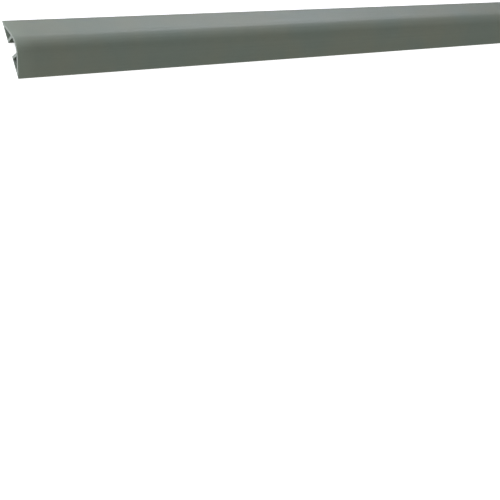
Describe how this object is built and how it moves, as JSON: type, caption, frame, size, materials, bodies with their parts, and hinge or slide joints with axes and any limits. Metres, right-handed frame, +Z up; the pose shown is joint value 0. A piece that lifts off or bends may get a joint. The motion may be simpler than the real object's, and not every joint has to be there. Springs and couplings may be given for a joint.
{
  "type": "cable trunking",
  "caption": "Length of grey PVC cable trunking: a low ridge section with a cable channel open along its underside between flat feet.",
  "frame": {"origin": "middle of the length and width, on the plane of the feet's undersides", "axes": "+X along the length, +Y across the width, +Z up from the feet to the crown"},
  "size_m": [2, 0.05, 0.0122],
  "materials": {
    "grey_pvc": "satin extruded rigid PVC, mid grey"
  },
  "bodies": {
    "root": {"trunking_profile": "grey_pvc"}
  },
  "joints": []
}
